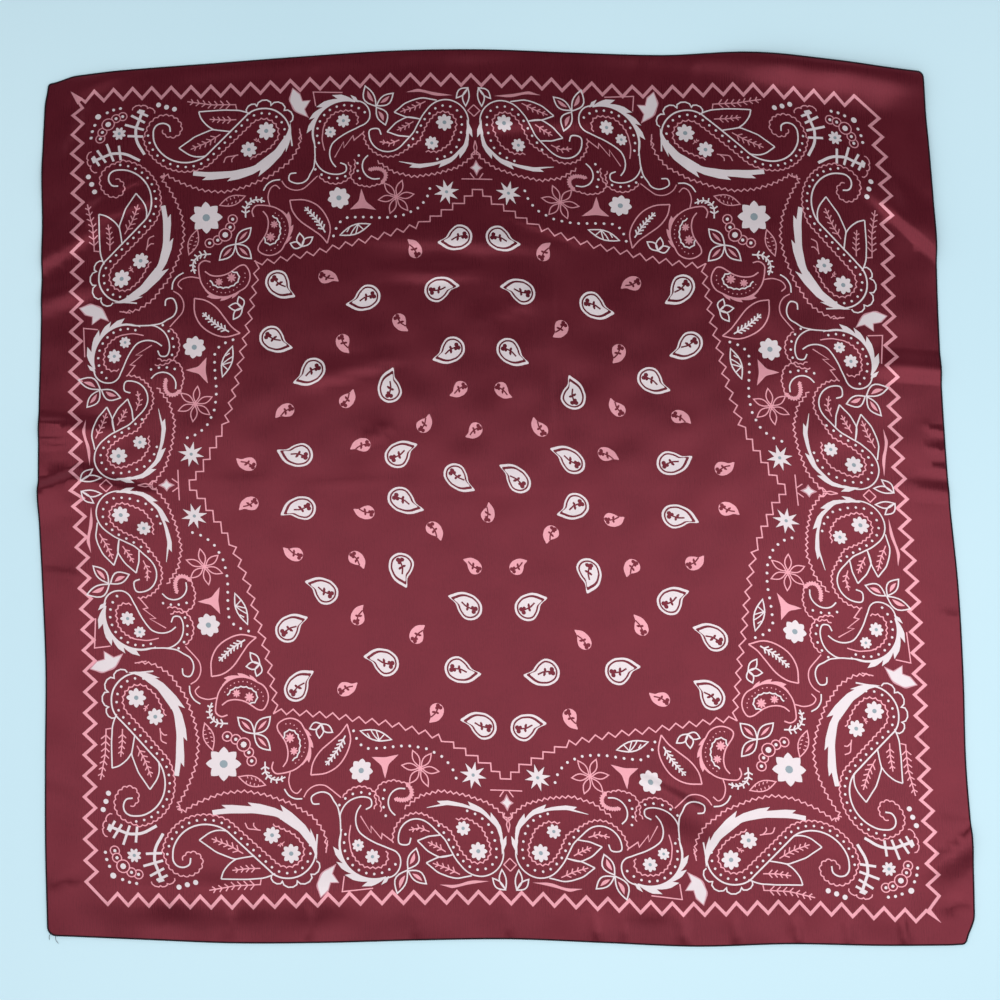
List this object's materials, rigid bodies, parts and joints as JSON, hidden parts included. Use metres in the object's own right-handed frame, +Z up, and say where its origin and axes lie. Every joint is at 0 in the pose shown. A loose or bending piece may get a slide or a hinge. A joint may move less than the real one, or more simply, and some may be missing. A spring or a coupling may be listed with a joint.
{
  "type": "bandana",
  "caption": "Square satin bandana laid out flat with its natural soft folds, one printed cloth panel with an overlocked edge.",
  "frame": {"origin": "centre of the bounding box's underside, on the surface that the cloth lies on", "axes": "+Z up from the surface, +Y towards the far side as pictured, +X to the right"},
  "size_m": [0.7158, 0.6939, 0.009],
  "materials": {
    "satin": "satin weave, printed",
    "edge_thread": "matt polyester thread"
  },
  "bodies": {
    "root": {"cloth_panel": "satin", "hem_top": "edge_thread", "hem_bottom": "edge_thread", "hem_left": "edge_thread", "hem_right": "edge_thread"}
  },
  "joints": []
}
